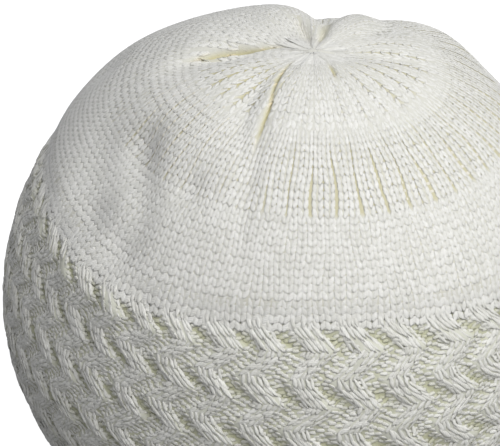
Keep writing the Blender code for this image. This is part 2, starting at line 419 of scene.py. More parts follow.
def crown_radius(azimuth, latitude, wall=0.0):
    radius = CROWN_RADIUS - wall - gather_depth(azimuth, latitude)
    radius = radius - EDGE_TUCK * ease(1.0 - (latitude - edge_latitude(azimuth)) / EDGE_TUCK_REACH)
    radius = radius + swelling(azimuth, latitude)
    for fold in FOLDS:
        radius = radius - fold_depth(fold, azimuth, latitude, wall)
    for crease in CREASES:
        radius = radius - crease_depth(crease, azimuth, latitude, wall)
    return radius


def band_radius(row):
    return BAND_RADIUS - BAND_TUCK * ease(row / LAST_TURN)


def row_latitude(row, azimuth):
    """Where a row of the band runs: it follows the crown's edge, and sags at the front right."""
    faded = ease((row - WAVE_END) / (EDGE_LATITUDE - WAVE_END))
    wave = (edge_latitude(azimuth) - EDGE_LATITUDE) * faded
    down = EDGE_LATITUDE - row
    turned = apart(azimuth, 0.0)
    start, full, fading, ended = SAG_AZIMUTHS
    pull = ease((turned - start) / (full - start)) * ease((ended - turned) / (ended - fading))
    fade = 1.0 - ease((down - SAG_FULL) / (SAG_END - SAG_FULL))
    return row + wave - SAG * down * pull * fade


def sway(row):
    """How many wales a ridge lies to the right of where it starts, at a row of the band."""
    turns = (FIRST_TURN - row) / TURN_PITCH
    share = 1.0 - np.abs((turns + 1.0) % 2.0 - 1.0)
    start = np.clip((EDGE_LATITUDE - row) / (EDGE_LATITUDE - FIRST_TURN), 0.0, 1.0)
    bent = np.where(turns % 2.0 >= 1.0, share ** ARM_BEND, share)
    return CHEVRON_SWAY * np.where(turns < 0.0, start ** ARM_BEND, bent)


def ridge_wales(angle, row):
    """Wales to the right of the first ridge's middle."""
    return (angle - CHEVRON_START) / WALE - sway(row)


def ridge_share(angle, row):
    """Height share across a ridge: 1 on it, 0 in the hollows between the ridges."""
    half = CHEVRON_WALES / 2.0
    offset = (ridge_wales(angle, row) + half) % CHEVRON_WALES - half
    return ease((RIDGE_FOOT - np.abs(offset)) / (RIDGE_FOOT - RIDGE_FLAT))


def shaded(angle, row):
    """From 0 to 1, how deep in shade a hollow lies: most right of a ridge, just above its turn."""
    offset = ridge_wales(angle, row) % CHEVRON_WALES
    turns = ((FIRST_TURN - row) / TURN_PITCH + 1.0) % 2.0 - 1.0
    return bell(offset - SHADE_ASIDE, SHADE_WIDTH) * bell(turns + SHADE_ABOVE, SHADE_HEIGHT)


def band_surface(angle, row):
    """The band's outer face: its radius where an angle and a row meet."""
    grown = ease((EDGE_LATITUDE - row) / (EDGE_LATITUDE - FIRST_TURN))
    ridge = RIDGE_HEIGHT * between(RIDGE_START, 1.0, grown) * ridge_share(angle, row)
    azimuth = azimuth_of(angle, row)
    return band_radius(row) + swelling(azimuth, row_latitude(row, azimuth)) + ridge


def outward(point_at, angle, latitude):
    """The unit vectors out of a surface, point_at giving its points."""
    step = 0.6
    east = point_at(angle + step, latitude) - point_at(angle - step, latitude)
    north = point_at(angle, latitude + step) - point_at(angle, latitude - step)
    return unit(np.cross(east, north))


def crown_point(angle, latitude):
    azimuth = azimuth_of(angle, latitude)
    return place(azimuth, latitude, crown_radius(azimuth, latitude) - YARN_SINK)


def band_point(angle, row):
    azimuth = azimuth_of(angle, row)
    return place(azimuth, row_latitude(row, azimuth), band_surface(angle, row) - YARN_SINK)


# Materials

def linear(hex_colour):
    """An sRGB colour such as "F2F1EA" as linear red, green, blue and 1."""
    shares = [int(hex_colour[i:i + 2], 16) / 255.0 for i in (0, 2, 4)]
    return [s / 12.92 if s <= 0.04045 else ((s + 0.055) / 1.055) ** 2.4 for s in shares] + [1.0]


def set_node(node, settings):
    """Sets a node's properties, or else the values of its sockets, by name."""
    for name, value in dict(settings).items():
        if isinstance(name, str) and hasattr(node, name):
            setattr(node, name, value)
        else:
            node.inputs[name].default_value = value


def add(tree, kind, settings=(), links=()):
    """Adds a node with its settings, links being what feeds its sockets by name."""
    node = tree.nodes.new(kind)
    set_node(node, settings)
    for name, source in dict(links).items():
        tree.links.new(source, node.inputs[name])
    return node


def new_material(name):
    material = bpy.data.materials.new(name)
    material.use_nodes = True
    return material, material.node_tree, material.node_tree.nodes["Principled BSDF"]


def attribute(tree, name):
    return add(tree, "ShaderNodeAttribute", {"attribute_name": name}).outputs["Fac"]


def noise(tree, spots, size, detail):
    """Noise in clouds of so many millimetres, with so many finer layers."""
    return add(tree, "ShaderNodeTexNoise", {"Scale": 1.0 / (size * MM), "Detail": detail},
               {"Vector": spots}).outputs["Fac"]


def blend(tree, source, share, rest):
    """A share of what one node gives, plus what another gives."""
    return add(tree, "ShaderNodeMath", {"operation": "MULTIPLY_ADD", 1: share},
               {0: source, 2: rest}).outputs[0]


def mixed(tree, share, first, second, links=()):
    """From the first colour, or what links feed to A, to the second one as share grows."""
    mix = add(tree, "ShaderNodeMix", {"data_type": "RGBA"}, {"Factor": share, **dict(links)})
    mix.inputs["A"].default_value = linear(first)
    mix.inputs["B"].default_value = linear(second)
    return mix.outputs["Result"]


def finish_yarn(tree, shader, colour, height, strength, depth):
    """Colours a shader and gives it bumps so many millimetres deep."""
    bump = add(tree, "ShaderNodeBump", {"Strength": strength, "Distance": depth * MM},
               {"Height": height})
    tree.links.new(colour, shader.inputs["Base Color"])
    tree.links.new(bump.outputs["Normal"], shader.inputs["Normal"])


def cotton_yarn(name, light, dark, close):
    """Spun cotton of two plies: matt white with a soft halo of fibres, and painted warm shade in
    hollows.
    """
    material, tree, shader = new_material(name)
    strand = add(tree, "ShaderNodeUVMap", {"uv_map": "strand"})
    spots = add(tree, "ShaderNodeTexCoord").outputs["Object"]
    fine = add(tree, "ShaderNodeMath", {"operation": "MULTIPLY_ADD", 1: 1.6, 2: -0.6},
               {0: noise(tree, spots, 1.1, 3.0)})
    broad = blend(tree, noise(tree, spots, 9.0, 2.0), 0.3, fine.outputs[0])
    spun = mixed(tree, blend(tree, attribute(tree, "tone"), 0.4, broad), dark, light)
    # painted shade: the close attribute mixes in a warm colour that stands for shade and for light
    # through the yarn
    painted_shade_colour = mixed(tree, attribute(tree, "close"), light, close, {"A": spun})
    plies = add(tree, "ShaderNodeTexWave", {"wave_type": "BANDS", "bands_direction": "DIAGONAL",
                                            "Scale": 3.0, "Distortion": 1.2, "Detail": 1.0},
                {"Vector": strand.outputs["UV"]})
    height = blend(tree, noise(tree, spots, 0.35, 3.0), 0.5, plies.outputs["Fac"])
    finish_yarn(tree, shader, painted_shade_colour, height, 0.5, 0.12)
    set_node(shader, {"Roughness": 0.9, "Specular IOR Level": 0.2,
                      "Sheen Weight": 0.3, "Sheen Roughness": 0.5})
    return material


def inner_plies(name, light, close):
    """The yarn behind the stitches, seen through the gaps, with painted shade: greyer, and warm olive
    in gaps.
    """
    material, tree, shader = new_material(name)
    # painted shade: olive where the close attribute is high, in slots, hollows and creases
    colour = mixed(tree, attribute(tree, "close"), light, close)
    spots = add(tree, "ShaderNodeTexCoord").outputs["Object"]
    courses = add(tree, "ShaderNodeTexWave", {"bands_direction": "Z", "Scale": 1.0 / (22.0 * MM),
                                              "Distortion": 2.0, "Detail": 1.0}, {"Vector": spots})
    height = blend(tree, noise(tree, spots, 0.8, 3.0), 0.6, courses.outputs["Fac"])
    finish_yarn(tree, shader, colour, height, 0.6, 0.4)
    set_node(shader, {"Roughness": 0.95})
    return material


def studio_paper():
    """A white paper ground. It glows to the lens, as an overexposed studio ground does."""
    material, tree, shader = new_material("white_paper")
    set_node(shader, {"Base Color": linear("8C8C8C"), "Roughness": 0.9,
                      "Emission Color": linear("FFFFFF")})
    lens = add(tree, "ShaderNodeLightPath")
    tree.links.new(lens.outputs["Is Camera Ray"], shader.inputs["Emission Strength"])
    return material


# Objects and meshes

def new_object(name, data):
    item = bpy.data.objects.new(name, data)
    bpy.context.collection.objects.link(item)
    return item


def mesh_of(name, bm):
    """A mesh with what the bmesh holds, which is freed."""
    mesh = bpy.data.meshes.new(name)
    bm.to_mesh(mesh)
    bm.free()
    return mesh


def vertices_of(mesh):
    """A mesh's vertices, one row for each."""
    flat = np.zeros(len(mesh.vertices) * 3, np.float32)
    mesh.vertices.foreach_get("co", flat)
    return flat.reshape(-1, 3).astype(float)


def move_vertices(mesh, points):
    """Moves a mesh's vertices to points in millimetres round the middle of the head."""
    mesh.vertices.foreach_set("co", (points * MM + np.array(HEAD_MIDDLE)).ravel())


# Yarn shapes: rings of a tapered length of yarn, from its start (0) to its end (1)
RING = "along girth bow"
LEG = table(RING, (0.20, 0.72, 0.12), (0.50, 1.00, 0.25), (0.84, 0.70, 0.10))
ARC = table(RING, (0.24, 0.90, 0.45), (0.76, 0.90, 0.45))
STRAND = table(RING, (0.06, 0.75, 0.10), (0.35, 1.00, 0.30), (0.70, 0.95, 0.25), (0.94, 0.60, 0.05))

# The yarn's cross-section, flattened where it is pressed on the cloth: across and outwards. Its first
# and fourth corners are sharp, so that the back doesn't darken the front.
SECTION = ((-1.0, 0.0), (-0.5, 0.8), (0.5, 0.8), (1.0, 0.0), (0.0, -0.8))
SHARP_CORNERS = (0, 3)
YARN_SIDES = len(SECTION)
TIP_SINK = -0.2
GIRTHS = (0.94, 1.06)  # unevenness of the yarn

# A length of yarn's own cell of the baked map: its share of the cell, and where it starts in it
CELL_SHARE = (0.7, 0.84, 0.0)
CELL_START = (0.05, 0.08, 0.0)


def grown_vertices(bm, ring):
    """The vertices that extruding a ring of vertices adds."""
    edges = [bm.edges.get((ring[i - 1], ring[i])) for i in range(YARN_SIDES)]
    grown = bmesh.ops.extrude_edge_only(bm, edges=edges)["geom"]
    return [item for item in grown if isinstance(item, bmesh.types.BMVert)]


def next_ring(bm, ring):
    """The ring that grows out of a ring, in the same order, with sharp edges at the sharp corners."""
    fresh = set(grown_vertices(bm, ring))
    pairs = [next((edge, edge.other_vert(vert)) for edge in vert.link_edges
                  if edge.other_vert(vert) in fresh) for vert in ring]
    for corner in SHARP_CORNERS:
        pairs[corner][0].smooth = False
    return [vert for edge, vert in pairs]


def unwrap_yarn(bm, around, along):
    """The "strand" map: turns round the yarn and shares of its length."""
    strand = bm.loops.layers.uv.new("strand")
    for face in bm.faces:
        turns = [loop.vert[around] for loop in face.loops if 0.0 < loop.vert[along] < 1.0]
        wraps = max(turns) - min(turns) > 0.5
        for loop in face.loops:
            turn = loop.vert[around]
            if loop.vert[along] in (0.0, 1.0):
                turn = sum(t + (1.0 if wraps and t < 0.5 else 0.0) for t in turns) / len(turns)
            elif wraps and turn < 0.5:
                turn += 1.0
            loop[strand].uv = (turn, loop.vert[along])


def sort_yarn(bm, around, along):
    """Sorts what extruding makes in no fixed order, so that each run gives the same mesh.

    Vertices go by their place along the yarn and, where that is the same, by their place round it.
    """
    bm.verts.sort(key=lambda vert: vert[along] + 0.01 * vert[around])
    bm.verts.index_update()
    for items in (bm.edges, bm.faces):
        items.sort(key=lambda item: sum(2 ** vert.index for vert in item.verts))


def yarn_shape(name, rows, sideways=0.0):
    """One length of yarn along Z from 0 to 1, one unit thick each way: a ring for each row.

    It bows outwards, towards Y, and where sideways is 1 as far towards X.
    """
    bm = bmesh.new()
    around = bm.verts.layers.float.new("around")
    along = bm.verts.layers.float.new("along")
    ring = bmesh.ops.create_circle(bm, segments=YARN_SIDES, radius=1.0)["verts"]
    rings = []
    for row in rows:
        if rings:
            ring = next_ring(bm, ring)
        for i, vert in enumerate(ring):
            across, outwards = SECTION[i]
            vert.co = (row["girth"] * across + row["bow"] * sideways,
                       row["girth"] * outwards + row["bow"] * (1.0 - 0.5 * sideways),
                       row["along"])
            vert[around] = i / YARN_SIDES
            vert[along] = row["along"]
        rings.append(ring)
    for ring, height in ((rings[0], 0.0), (rings[-1], 1.0)):
        tip = grown_vertices(bm, ring)
        for vert in tip:
            vert[along] = height
        bmesh.ops.pointmerge(bm, verts=tip, merge_co=(0.0, TIP_SINK, height))
    bmesh.ops.recalc_face_normals(bm, faces=bm.faces[:])
    unwrap_yarn(bm, around, along)
    sort_yarn(bm, around, along)
    return new_object(name, mesh_of(name, bm))


def laying_group(shape, cells):
    """Geometry nodes that lay a copy of the shape at each point, turned and sized by the point."""
    tree = bpy.data.node_groups.new("lay_yarn", "GeometryNodeTree")
    tree.interface.new_socket(name="Geometry", in_out="INPUT", socket_type="NodeSocketGeometry")
    tree.interface.new_socket(name="Geometry", in_out="OUTPUT", socket_type="NodeSocketGeometry")
    points = add(tree, "NodeGroupInput")
    yarn = add(tree, "GeometryNodeObjectInfo", {"transform_space": "ORIGINAL", "Object": shape})
    named = {}
    for name, kind in (("turn", "QUATERNION"), ("size", "FLOAT_VECTOR"), ("strand", "FLOAT_VECTOR"),
                       ("cell", "FLOAT_VECTOR")):
        node = add(tree, "GeometryNodeInputNamedAttribute", {"data_type": kind, "Name": name})
        named[name] = node.outputs["Attribute"]
    laid = add(tree, "GeometryNodeInstanceOnPoints", {}, {
        "Points": points.outputs["Geometry"], "Instance": yarn.outputs["Geometry"],
        "Rotation": named["turn"], "Scale": named["size"]})
    joined = add(tree, "GeometryNodeRealizeInstances", {}, {"Geometry": laid.outputs["Instances"]})
    inset = add(tree, "ShaderNodeVectorMath",
                {"operation": "MULTIPLY_ADD", 1: CELL_SHARE, 2: CELL_START}, {0: named["strand"]})
    moved = add(tree, "ShaderNodeVectorMath", {"operation": "ADD"},
                {0: inset.outputs[0], 1: named["cell"]})
    small = add(tree, "ShaderNodeVectorMath", {"operation": "SCALE", "Scale": 1.0 / cells},
                {0: moved.outputs[0]})
    mapped = add(tree, "GeometryNodeStoreNamedAttribute",
                 {"data_type": "FLOAT2", "domain": "CORNER", "Name": "OFBake"},
                 {"Geometry": joined.outputs["Geometry"], "Value": small.outputs[0]})
    add(tree, "NodeGroupOutput", {}, {"Geometry": mapped.outputs["Geometry"]})
    return tree


def ends_joined(*sets):
    """Several sets of starts, ends and outward directions as one."""
    return [np.concatenate(parts) for parts in zip(*sets)]


def paint_crease_shade(mesh):
    """Adds the creases' painted warm shade to the painted shade that a mesh's vertices have already.
    """
    shade = np.zeros(len(mesh.vertices), np.float32)
    mesh.attributes["close"].data.foreach_get("value", shade)
    spots = vertices_of(mesh) - np.array(HEAD_MIDDLE)
    shade = np.clip(shade + closeness(*aim_of(spots)), 0.0, 1.0)
    mesh.attributes["close"].data.foreach_set("value", shade.astype(np.float32))


def lay_yarn(name, shape, laid, width, depth, material, close=0.0):
    """A piece of many lengths of yarn with their backs to the cap.

    laid holds their starts, their ends and the directions outwards, in millimetres round the middle
    of the head. close is how much painted shade they carry, besides the painted shade of the creases.
    """
    start, finish, out = laid
    swallowed = SWALLOW * closeness(*aim_of((start + finish) / 2.0))[:, None] * out
    start, finish = start - swallowed, finish - swallowed
    count = len(start)
    chance = np.random.default_rng(SEED + count)
    length = np.linalg.norm(finish - start, axis=1)
    along = unit(finish - start)
    side = unit(np.cross(out, along))
    turns = np.stack([side, np.cross(along, side), along], axis=-1)
    quaternions = np.array([Matrix(turn).to_quaternion() for turn in turns])
    girth = chance.uniform(*GIRTHS, count)
    sizes = np.stack([width * girth, depth * girth, length], axis=1) * MM
    cells = math.ceil(math.sqrt(count))
    cell = np.stack([np.arange(count) % cells, np.arange(count) // cells, np.zeros(count)], axis=1)
    mesh = bpy.data.meshes.new(name + "_points")
    mesh.vertices.add(count)
    move_vertices(mesh, start)
    # close holds each length's painted shade
    for label, kind, values, key in (("turn", "QUATERNION", quaternions, "value"),
                                     ("size", "FLOAT_VECTOR", sizes, "vector"),
                                     ("cell", "FLOAT_VECTOR", cell, "vector"),
                                     ("close", "FLOAT", np.zeros(count) + close, "value"),
                                     ("tone", "FLOAT", chance.uniform(0.0, 1.0, count), "value")):
        spot = mesh.attributes.new(label, kind, "POINT")
        spot.data.foreach_set(key, values.astype(np.float32).ravel())
    points = new_object(name + "_points", mesh)
    laying = points.modifiers.new("lay", "NODES")
    laying.node_group = laying_group(shape, cells)
    evaluated = points.evaluated_get(bpy.context.evaluated_depsgraph_get())
    joined = bpy.data.meshes.new_from_object(evaluated)
    bpy.data.objects.remove(points)
    joined.name = name
    paint_crease_shade(joined)
    joined.shade_smooth()
    joined.materials.clear()
    joined.materials.append(material)
    piece = new_object(name, joined)
    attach(piece, "root")
    return piece


# Cloth walls

def wall(name, rows, closes, columns, material, slot, node):
    """A closed wall: rows gives each ring's points from first to last, closes their painted shade."""
    bm = bmesh.new()
    bm.loops.layers.uv.new("OFBake")
    bmesh.ops.create_grid(bm, x_segments=columns, y_segments=len(rows) - 1, size=1.0, calc_uvs=True)
    mesh = mesh_of(name, bm)
    flat = (vertices_of(mesh) + 1.0) / 2.0
    column = np.rint(flat[:, 0] * columns).astype(int) % columns
    row = np.rint(flat[:, 1] * (len(rows) - 1)).astype(int)
    move_vertices(mesh, np.array(rows)[row, column])
    close = mesh.attributes.new("close", "FLOAT", "POINT")
    close.data.foreach_set("value", np.array(closes)[row, column].astype(np.float32))
    bm = bmesh.new()
    bm.from_mesh(mesh)
    bmesh.ops.remove_doubles(bm, verts=bm.verts[:], dist=0.01 * MM)
    bmesh.ops.recalc_face_normals(bm, faces=bm.faces[:])
    bm.to_mesh(mesh)
    bm.free()
    mesh.shade_smooth()
    mesh.materials.append(material)
    piece = new_object(name, mesh)
    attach(piece, "root")
    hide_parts(node)
    return piece


def crown_cloth(material):
    columns = 2 * WALES
    angles = np.arange(columns) * 360.0 / columns
    edge = edge_latitude(azimuth_of(angles, EDGE_LATITUDE)) + HALF_GAP
    rows, closes = [], []
    for share in np.linspace(0.0, 1.0, CROWN_RINGS):
        latitude = between(90.0, edge, share)
        azimuth = azimuth_of(angles, latitude)
        slots = openness(angles, latitude)
        sink = CLOTH_SINK + SLOT_SINK * slots
        rows.append(place(azimuth, latitude, crown_radius(azimuth, latitude) - sink))
        # painted warm shade in the creases and in the knit's gaps and dropped wales
        closes.append(np.maximum(closeness(azimuth, latitude), SLOT_SHADE * slots))
    for share in np.linspace(1.0, 0.0, CROWN_INNER_RINGS):
        latitude = between(90.0, edge, share)
        azimuth = azimuth_of(angles, latitude)
        rows.append(place(azimuth, latitude, crown_radius(azimuth, latitude, CROWN_WALL)))
        closes.append(np.zeros(columns))
    return wall("crown_cloth", rows, closes, columns, material, "crown_yarn", "crown")


def off_floor(points):
    """The points with none of them under the rim's plane."""
    points[:, 2] = np.maximum(points[:, 2], -RIM_DROP)
    return points


def rim_latitude(radius):
    return -math.degrees(math.asin(RIM_DROP / radius))


def band_cloth(material):
    columns = 3 * WALES
    angles = np.arange(columns) * 360.0 / columns
    rim = rim_latitude(RIM_RADIUS - CLOTH_SINK)
    inner_rim = rim_latitude(RIM_RADIUS - BAND_WALL)
    rows, closes = [], []
    for share in np.linspace(0.0, 1.0, BAND_RINGS):
        row = between(EDGE_LATITUDE - HALF_GAP, rim, share)
        azimuth = azimuth_of(angles, row)
        hollow, shade = 1.0 - ridge_share(angles, row), shaded(angles, row)
        sink = CLOTH_SINK + RIDGE_SINK - HOLLOW_RISE * hollow + SHADE_SINK * shade
        latitude = np.maximum(row_latitude(row, azimuth), rim)
        rows.append(off_floor(place(azimuth, latitude, band_surface(angles, row) - sink)))
        # painted olive shade in the hollows between the ridges, stronger where a hollow lies in shade
        closes.append(np.clip(HOLLOW_SHADE * hollow + DEEP_SHADE * shade, 0.0, 1.0))
    for share in np.linspace(0.0, 1.0, BAND_INNER_RINGS):
        row = between(inner_rim, EDGE_LATITUDE - HALF_GAP, share)
        azimuth = azimuth_of(angles, row)
        latitude = np.maximum(row_latitude(row, azimuth), inner_rim)
        rows.append(off_floor(place(azimuth, latitude, band_radius(row) - BAND_WALL)))
        closes.append(np.zeros(columns))
    rows.append(rows[0])
    closes.append(closes[0])
    return wall("band_cloth", rows, closes, columns, material, "band_yarn", "band")


# Stitches of the crown. Their feet and heads are given in half wales from a wale's middle.
FOOT_SHARE = 0.16  # a leg's foot
SLOT_FOOT = 0.52  # the same for a leg beside a dropped wale
LOOSE_FOOT = -0.45  # the same for an outer leg where the top is loosest
HEAD_SHARE = 0.88  # a leg's head
LEG_START = -0.32  # the foot, in courses from the stitch's own
LEG_END = 1.17  # the head, which lies under the next one's foot
FOOT_LIFT = 0.03
LIFT_JITTER = 0.015
PAIR_SPREAD = 1.04  # from a pair's middle to its wales, in half wales
PLAIN_GIRTH = 0.265  # half thicknesses of the yarn, in wales
RIB_GIRTH = 0.26
TOP_GIRTH = 0.25
LOOSE_GIRTH = 0.20  # where the top is loosest
TOP_FLATNESS = 1.2  # thickness outwards at most, by thickness across
RIB_HALF = 0.69  # half a rib's wale, in wales
SLACK_NARROWING = 0.10  # that much less where the dropped wales gape
SLACK_COURSES = 12.0  # over which they close again
TOP_HALF = 0.49  # half a wale of the top, in steps
BAR_HALF = 0.45  # half the reach of a dropped wale's bar, in wales
BAR_WIDTH = 0.74  # half thicknesses of the bars, in millimetres
BAR_DEPTH = 0.3
SLACK_BAR_SINK = 0.52  # how deep the bars lie where the dropped wales gape
LOOSE_BAR_SINK = 0.16  # and where the top's knit is loosest

GATHER_LOW = (82.0, 85.5)  # latitudes between which the gather's strands start
GATHER_HIGH = (88.6, 89.8)  # and end
GATHER_WIDTHS = (0.50, 0.70)  # half thicknesses and sinks in millimetres
GATHER_THICKNESS = 0.08
GATHER_LOW_SINK = 0.02
GATHER_HIGH_SINK = 0.12


def vee_legs(wale, course, half, latitude_of, feet=(FOOT_SHARE, FOOT_SHARE), jitter=JITTER):
    """Starts, ends and outward directions of the two legs of each of the crown's stitches.

    wale is a stitch's angle and half is half a wale in degrees. latitude_of turns an angle and a
    course into a latitude. feet are for the left and the right leg.
    """
    chance = np.random.default_rng(SEED + len(wale))
    wale = wale + chance.normal(0.0, 1.0, len(wale)) * jitter * half
    course = course + chance.normal(0.0, COURSE_JITTER, len(course))
    sets = []
    for hand, share in zip((-1.0, 1.0), feet):
        foot = wale + hand * share * half
        head = wale + hand * HEAD_SHARE * half
        low = latitude_of(foot, course + LEG_START)
        high = latitude_of(head, course + LEG_END)
        out = outward(crown_point, (foot + head) / 2.0, (low + high) / 2.0)
        lift = chance.normal(0.0, LIFT_JITTER, len(wale))[:, None]
        sets.append((crown_point(foot, low) + out * (FOOT_LIFT + lift),
                     crown_point(head, high) - out * (FOOT_LIFT - lift), out))
    return ends_joined(*sets)


def paired_legs(middle, course, half, latitude_of, outer, jitter=JITTER):
    """The legs of two wales side by side, outer being their outer legs' feet."""
    return ends_joined(*(
        vee_legs(middle + hand * PAIR_SPREAD * half, course, half, latitude_of, feet, jitter)
        for hand, feet in ((-1.0, (outer, FOOT_SHARE)), (1.0, (FOOT_SHARE, outer)))))


def stitch_grid(angles, courses):
    """The angle and the course of each stitch where wales and courses cross."""
    angle, course = np.meshgrid(angles, courses)
    return angle.ravel(), course.ravel().astype(float)


def bars(point_at, angle, row, half, sink, tilt=0.0):
    """Lengths of yarn across the wales, sink millimetres deep, their ends tilt rows down and up."""
    out = outward(point_at, angle, row)
    sunk = out * sink[:, None]
    return point_at(angle - half, row - tilt) - sunk, point_at(angle + half, row + tilt) - sunk, out


def plain_stitches(shape, material):
    wale, course = stitch_grid(RIB_START + np.arange(WALES) * WALE, np.arange(-1, PLAIN_COURSES))

    def latitude_of(angle, course):
        edge = edge_latitude(azimuth_of(angle, EDGE_LATITUDE))
        return between(edge, DROP_LATITUDE, course / PLAIN_COURSES)

    laid = vee_legs(wale, course, WALE / 2.0, latitude_of)
    width = PLAIN_GIRTH * width_of(WALE, np.tile(latitude_of(wale, course), 2))
    return lay_yarn("plain_stitches", shape, laid, width, YARN_RADIUS, material)


def rib_stitches(shape, material):
    rib, course = stitch_grid(RIB_START + (np.arange(RIBS) * RIB_WALES + RIB_WALES / 2.0) * WALE,
                              np.arange(RIB_COURSES))
    gape = np.maximum(slackness(rib) * ease(1.0 - course / SLACK_COURSES), looseness(rib))
    half = (RIB_HALF - SLACK_NARROWING * gape) * WALE

    def latitude_of(angle, course):
        return between(DROP_LATITUDE, SECOND_LATITUDE, course / RIB_COURSES)

    laid = paired_legs(rib, course, half, latitude_of, SLOT_FOOT)
    width = np.tile(RIB_GIRTH * width_of(2.0 * half, latitude_of(rib, course)), 4)
    return lay_yarn("rib_stitches", shape, laid, width, YARN_RADIUS, material)


def ladder_bars(shape, material):
    """The loose bar that each course leaves across a dropped wale."""
    gap, course = stitch_grid(RIB_START + np.arange(RIBS) * RIB_WALES * WALE, np.arange(RIB_COURSES))
    latitude = between(DROP_LATITUDE, SECOND_LATITUDE, (course + 1.0) / RIB_COURSES)
    sink = between(SLACK_BAR_SINK, LOOSE_BAR_SINK, looseness(gap))
    laid = bars(crown_point, gap, latitude, BAR_HALF * WALE, sink)
    # the bars carry a little painted shade, as they lie sunk in the gaps
    return lay_yarn("ladder_bars", shape, laid, BAR_WIDTH, BAR_DEPTH, material,
                    BAR_SHADE)


def top_stitches(shape, material):
    pair, course = stitch_grid(RIB_START + np.arange(TOP_WALES // 2) * 2.0 * TOP_STEP,
                               np.arange(TOP_COURSES))
    loose = looseness(pair)
    half = TOP_HALF * TOP_STEP

    def latitude_of(angle, course):
        return between(SECOND_LATITUDE, TOP_END_LATITUDE, course / TOP_COURSES)

    laid = paired_legs(pair, course, half, latitude_of, between(FOOT_SHARE, LOOSE_FOOT, loose),
                       between(JITTER, LOOSE_JITTER, loose))
    girth = between(TOP_GIRTH, LOOSE_GIRTH, loose)
    width = np.tile(girth * width_of(2.0 * half, latitude_of(pair, course)), 4)
    depth = np.minimum(YARN_RADIUS, TOP_FLATNESS * width)
    return lay_yarn("top_stitches", shape, laid, width, depth, material)


def gather_strands(shape, material):
    """The last stitches, drawn long by the thread that closes the top."""
    count = 2 * TOP_WALES
    chance = np.random.default_rng(SEED)
    angle = np.arange(count) * 360.0 / count
    low = chance.uniform(*GATHER_LOW, count)
    high = chance.uniform(*GATHER_HIGH, count)
    out = outward(crown_point, angle, (low + high) / 2.0)
    laid = (crown_point(angle, low) - out * GATHER_LOW_SINK,
            crown_point(angle, high) - out * GATHER_HIGH_SINK, out)
    width = chance.uniform(*GATHER_WIDTHS, count)
    return lay_yarn("gather_strands", shape, laid, width, GATHER_THICKNESS, material)


# Strands of a ridge, side by side: wales from the ridge's middle, lift and radius
LINES = table("place lift radius",
              (-1.10, -0.10, 0.52), (-0.66, 0.02, 0.62), (-0.22, -0.02, 0.58),
              (0.22, 0.08, 0.62), (0.66, -0.02, 0.54), (1.10, 0.06, 0.56))
ARM_COURSES = {1: 3, -1: 4}  # strands along a slant, by its lean
STRAND_ENDS = (-0.30, 1.20)  # where a strand starts and ends, in courses of its slant
STRAND_OVER = 1.2  # degrees that the first slants reach over the edge
STRAND_STRAY = 0.06  # unevenness along the slant, in courses
STRAND_SWAY = 0.10  # and of its ends sideways, in wales
STRAND_LIFT = 0.07  # and outwards
STRAND_WIDTHS = (0.85, 1.15)  # and of its radius
LOW_END_LIFT = 0.10  # a strand's lower end lies over the next one's
HIGH_END_SINK = 0.12
LEAN_LIFT = 0.06  # slants to the right stand out more
FLATNESS = 0.38  # thickness outwards by thickness across
LEAN_FLATNESS = 0.04


def ridge_strands(shape, material, lean, name):
    """The strands of every second slant: lean 1 runs down to the right, -1 to the left."""
    chance = np.random.default_rng(SEED + 11 * lean + 100)
    sets, radii = [], []
    for slant in range(0 if lean > 0 else 1, CHEVRON_TURNS, 2):
        high = FIRST_TURN - (slant - 1) * TURN_PITCH
        low = high - TURN_PITCH
        if slant == 0:
            high = EDGE_LATITUDE + STRAND_OVER
        for step in range(ARM_COURSES[lean]):
            for line in LINES:
                stray = chance.normal(0.0, STRAND_STRAY, CHEVRONS)
                base = CHEVRON_START + (np.arange(CHEVRONS) * CHEVRON_WALES + line["place"]) * WALE
                ends = []
                for share in STRAND_ENDS:
                    row = between(high, low, (step + share + stray) / ARM_COURSES[lean])
                    aside = chance.normal(0.0, STRAND_SWAY, CHEVRONS)
                    ends.append((base + (sway(row) + aside) * WALE, row))
                (upper_angle, upper), (lower_angle, lower) = ends
                out = outward(band_point, (upper_angle + lower_angle) / 2.0, (upper + lower) / 2.0)
                lift = line["lift"] + LEAN_LIFT * lean + chance.normal(0.0, STRAND_LIFT, CHEVRONS)
                lift = lift[:, None]
                sets.append((band_point(lower_angle, lower) + out * (lift + LOW_END_LIFT),
                             band_point(upper_angle, upper) + out * (lift - HIGH_END_SINK), out))
                radii.append(line["radius"] * chance.uniform(*STRAND_WIDTHS, CHEVRONS))
    width = np.concatenate(radii)
    depth = (FLATNESS + LEAN_FLATNESS * lean) * width
    return lay_yarn(name, shape, ends_joined(*sets), width, depth, material)


# Arcs of a hollow, in four columns, two by two
ARCS_PER_SLANT = 6  # in each column
ARC_HALF = 0.36  # half an arc's reach, in wales
ARC_WIDTH = 0.60
ARC_DEPTH = 0.23
FIRST_COLUMN = 1.16  # wales from the ridge's middle
COLUMN_STEP = 0.56
ARCS_UNDER_EDGE = 0.9  # rows from the crown's edge to the first arcs
ARCS_PAST_TURN = 1.0  # and from the last turn to the last ones
ARC_STRAY = 0.10  # unevenness in rows
ARC_SWAY = 0.06  # sideways in wales
ARC_LIFT = 0.06  # outwards
ARC_TILT = 0.15  # and of an arc's two ends in rows
ARC_LOSS = 0.15  # share of the arcs left out in the deepest shade
ARC_SINK = 0.22  # how much deeper they lie there
# painted shade of the arcs, by how deep in shade their hollow lies
ARC_SHADE = 0.75


